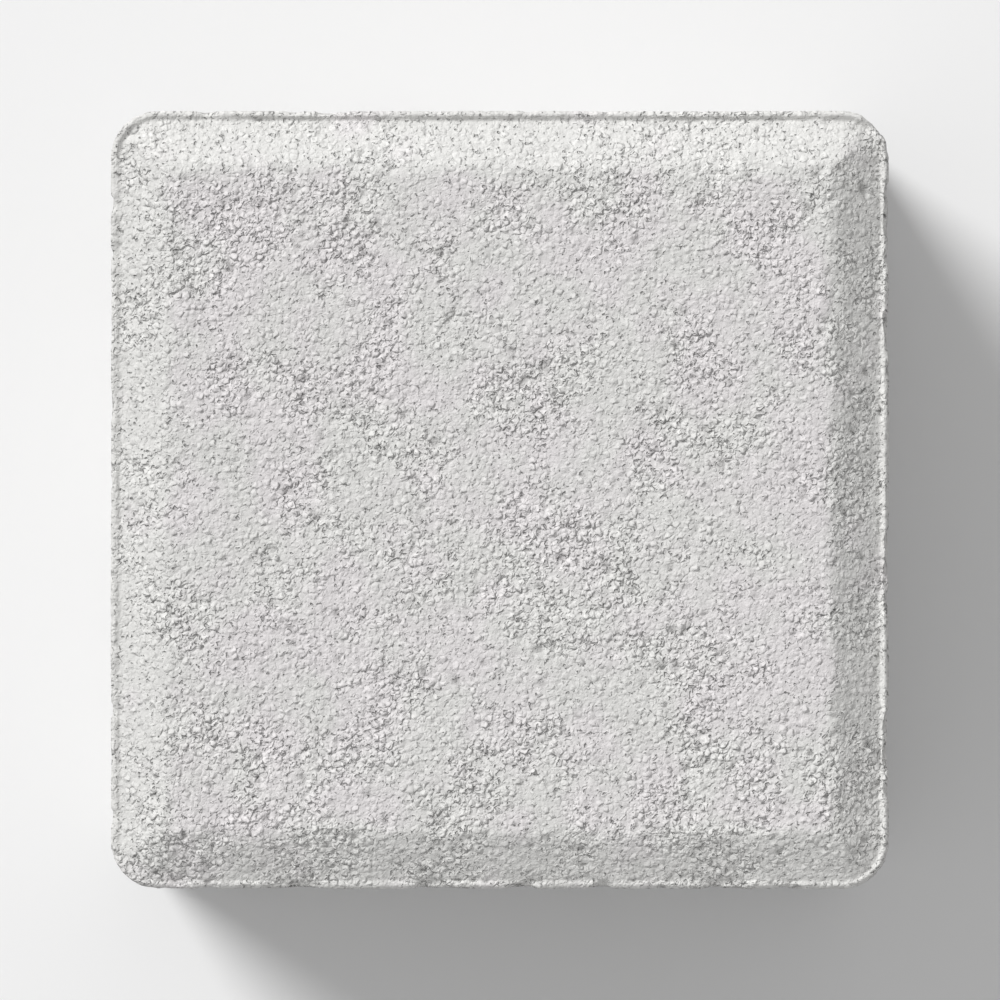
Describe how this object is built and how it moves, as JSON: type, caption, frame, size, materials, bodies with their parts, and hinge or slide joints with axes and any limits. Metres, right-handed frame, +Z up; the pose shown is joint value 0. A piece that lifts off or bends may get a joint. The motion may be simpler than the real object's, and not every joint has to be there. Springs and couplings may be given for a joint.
{
  "type": "square concrete paving stone",
  "caption": "Square concrete paving stone with rounded upright corners and a bevelled head above a narrow flat ledge, laid on edge-to-edge grids for paths and yards.",
  "frame": {"origin": "middle of the bed, the flat face that the stone lies on", "axes": "+Z up from the bed to the tread; X and Y along the stone's sides"},
  "size_m": [0.098, 0.098, 0.06],
  "materials": {
    "concrete": "light grey fine-grained pressed concrete, matt, with open sand grain and small pores"
  },
  "bodies": {
    "root": {"paving_stone": "concrete"}
  },
  "joints": []
}
